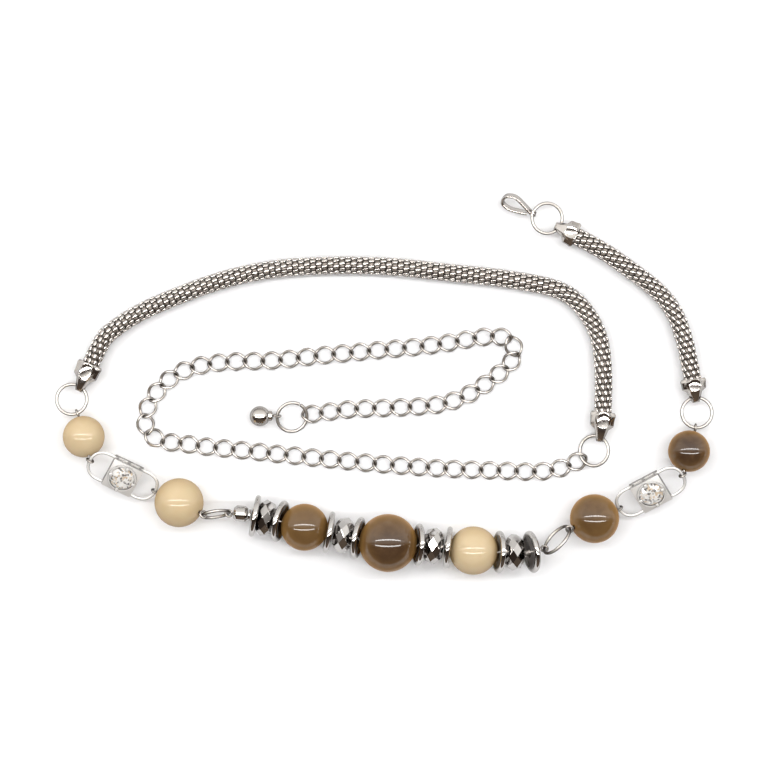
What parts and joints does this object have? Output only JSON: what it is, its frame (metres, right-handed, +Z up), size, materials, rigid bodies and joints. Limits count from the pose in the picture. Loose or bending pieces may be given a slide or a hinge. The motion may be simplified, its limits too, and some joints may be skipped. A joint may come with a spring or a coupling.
{
  "type": "beaded chain belt",
  "caption": "Chain belt laid flat: hook, woven metal tubes, round beads, crystal links, a threaded centre of beads, discs and rondelles, and a long curb chain with an end ball.",
  "frame": {"origin": "under the middle of the belt's bounding box, on the surface that it rests on", "axes": "+X to the right of the layout, along its longest extent; +Y away from the viewer; +Z up"},
  "size_m": [0.2704, 0.157, 0.0236],
  "materials": {
    "silver": "polished",
    "woven_silver": "woven and polished",
    "mirror_silver": "mirror polished",
    "ivory_bead": "glossy, slightly translucent",
    "smoky_brown_bead": "glossy, smoky and translucent",
    "crystal": "clear, cut"
  },
  "bodies": {
    "root": {"hook_clasp": "silver", "jump_ring_1": "silver", "jump_ring_2": "silver", "jump_ring_3": "silver", "jump_ring_4": "silver", "jump_ring_5": "silver", "string_ring_right": "silver", "string_ring_left": "silver", "end_cap_1": "silver", "end_cap_2": "silver", "end_cap_3": "silver", "end_cap_4": "silver", "eye_pin_1": "silver", "eye_pin_2": "silver", "eye_pin_3": "silver", "eye_pin_4": "silver", "crystal_link_1": "silver", "crystal_link_2": "silver", "string_wire": "silver", "curb_chain": "silver", "ball_end": "silver", "mesh_tube_short": "woven_silver", "mesh_tube_long": "woven_silver", "cup_disc_1": "mirror_silver", "cup_disc_2": "mirror_silver", "cup_disc_3": "mirror_silver", "cup_disc_4": "mirror_silver", "cup_disc_5": "mirror_silver", "cup_disc_6": "mirror_silver", "cup_disc_7": "mirror_silver", "cup_disc_8": "mirror_silver", "rondelle_1": "mirror_silver", "rondelle_2": "mirror_silver", "rondelle_3": "mirror_silver", "rondelle_4": "mirror_silver", "spacer_ring": "mirror_silver", "barrel_bead": "mirror_silver", "bead_ivory_centre": "ivory_bead", "bead_medium_ivory": "ivory_bead", "bead_small_ivory": "ivory_bead", "bead_small_brown": "smoky_brown_bead", "bead_medium_brown": "smoky_brown_bead", "bead_big_brown": "smoky_brown_bead", "bead_brown_centre": "smoky_brown_bead", "crystal_stone_1": "crystal", "crystal_stone_2": "crystal"}
  },
  "joints": []
}
